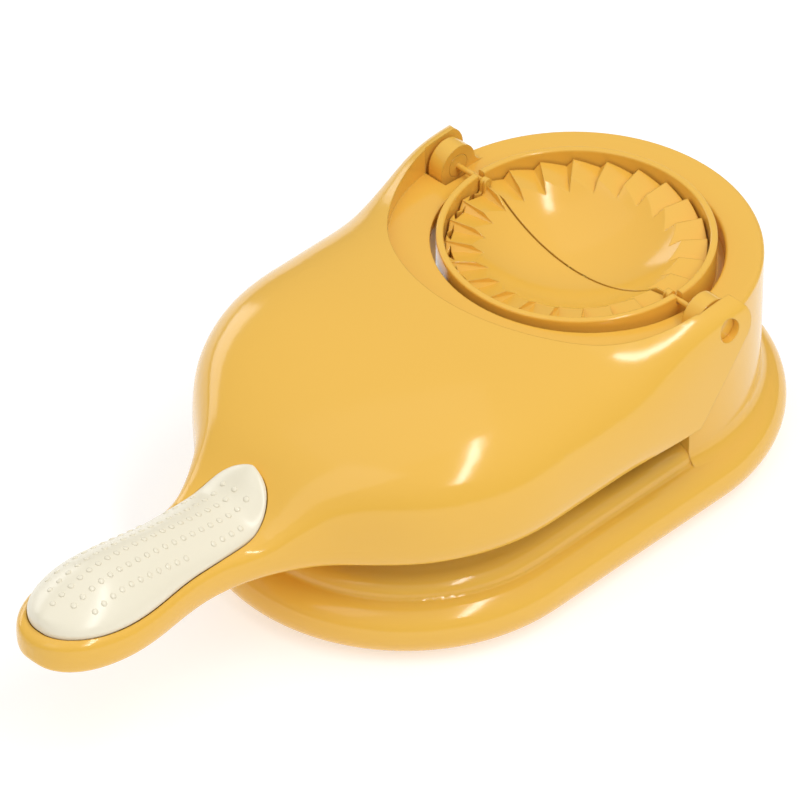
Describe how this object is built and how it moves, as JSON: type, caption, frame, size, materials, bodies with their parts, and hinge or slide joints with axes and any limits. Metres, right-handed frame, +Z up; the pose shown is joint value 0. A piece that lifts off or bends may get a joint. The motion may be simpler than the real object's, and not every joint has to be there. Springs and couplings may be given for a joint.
{
  "type": "dumpling maker",
  "caption": "Hand press for dumplings: a domed lever hinged over a rounded base flattens a dough wrapper, and a pleated bowl mould at the hinge folds the filled dumpling.",
  "frame": {"origin": "centre of the whole part's footprint, on the table the feet stand on", "axes": "+Z up, +X from the handle to the tower that carries the mould, +Y to the left side seen from the handle's end facing the tower"},
  "size_m": [0.2678, 0.1192, 0.0715],
  "materials": {
    "body_plastic": "satin warm yellow",
    "press_plastic": "satin cream",
    "grip_plastic": "satin cream, dotted",
    "screw_steel": "zinc plated",
    "foot_rubber": "matt"
  },
  "bodies": {
    "base": {"base_shell": "body_plastic", "base_cover": "body_plastic", "cover_screws": "screw_steel", "foot_front_left": "foot_rubber", "foot_front_right": "foot_rubber", "foot_rear_left": "foot_rubber", "foot_rear_right": "foot_rubber", "press_tray": "press_plastic", "tray_screws": "screw_steel", "mould_ring": "body_plastic", "rear_leaf": "body_plastic", "mould_screws": "screw_steel"},
    "lever": {"lever_shell": "body_plastic", "lever_liner": "press_plastic", "liner_screws": "screw_steel", "press_plate": "press_plastic", "plate_screws": "screw_steel", "grip_insert": "grip_plastic", "grip_screws": "screw_steel", "front_leaf": "body_plastic", "hinge_pin_left": "body_plastic", "hinge_pin_right": "body_plastic"}
  },
  "joints": [
    {"name": "lever_hinge", "type": "hinge", "parent": "base", "child": "lever", "pos_m": [0.0743, 0, 0.0633], "axis": [0, 1, 0], "range_deg": [0, 180]}
  ]
}
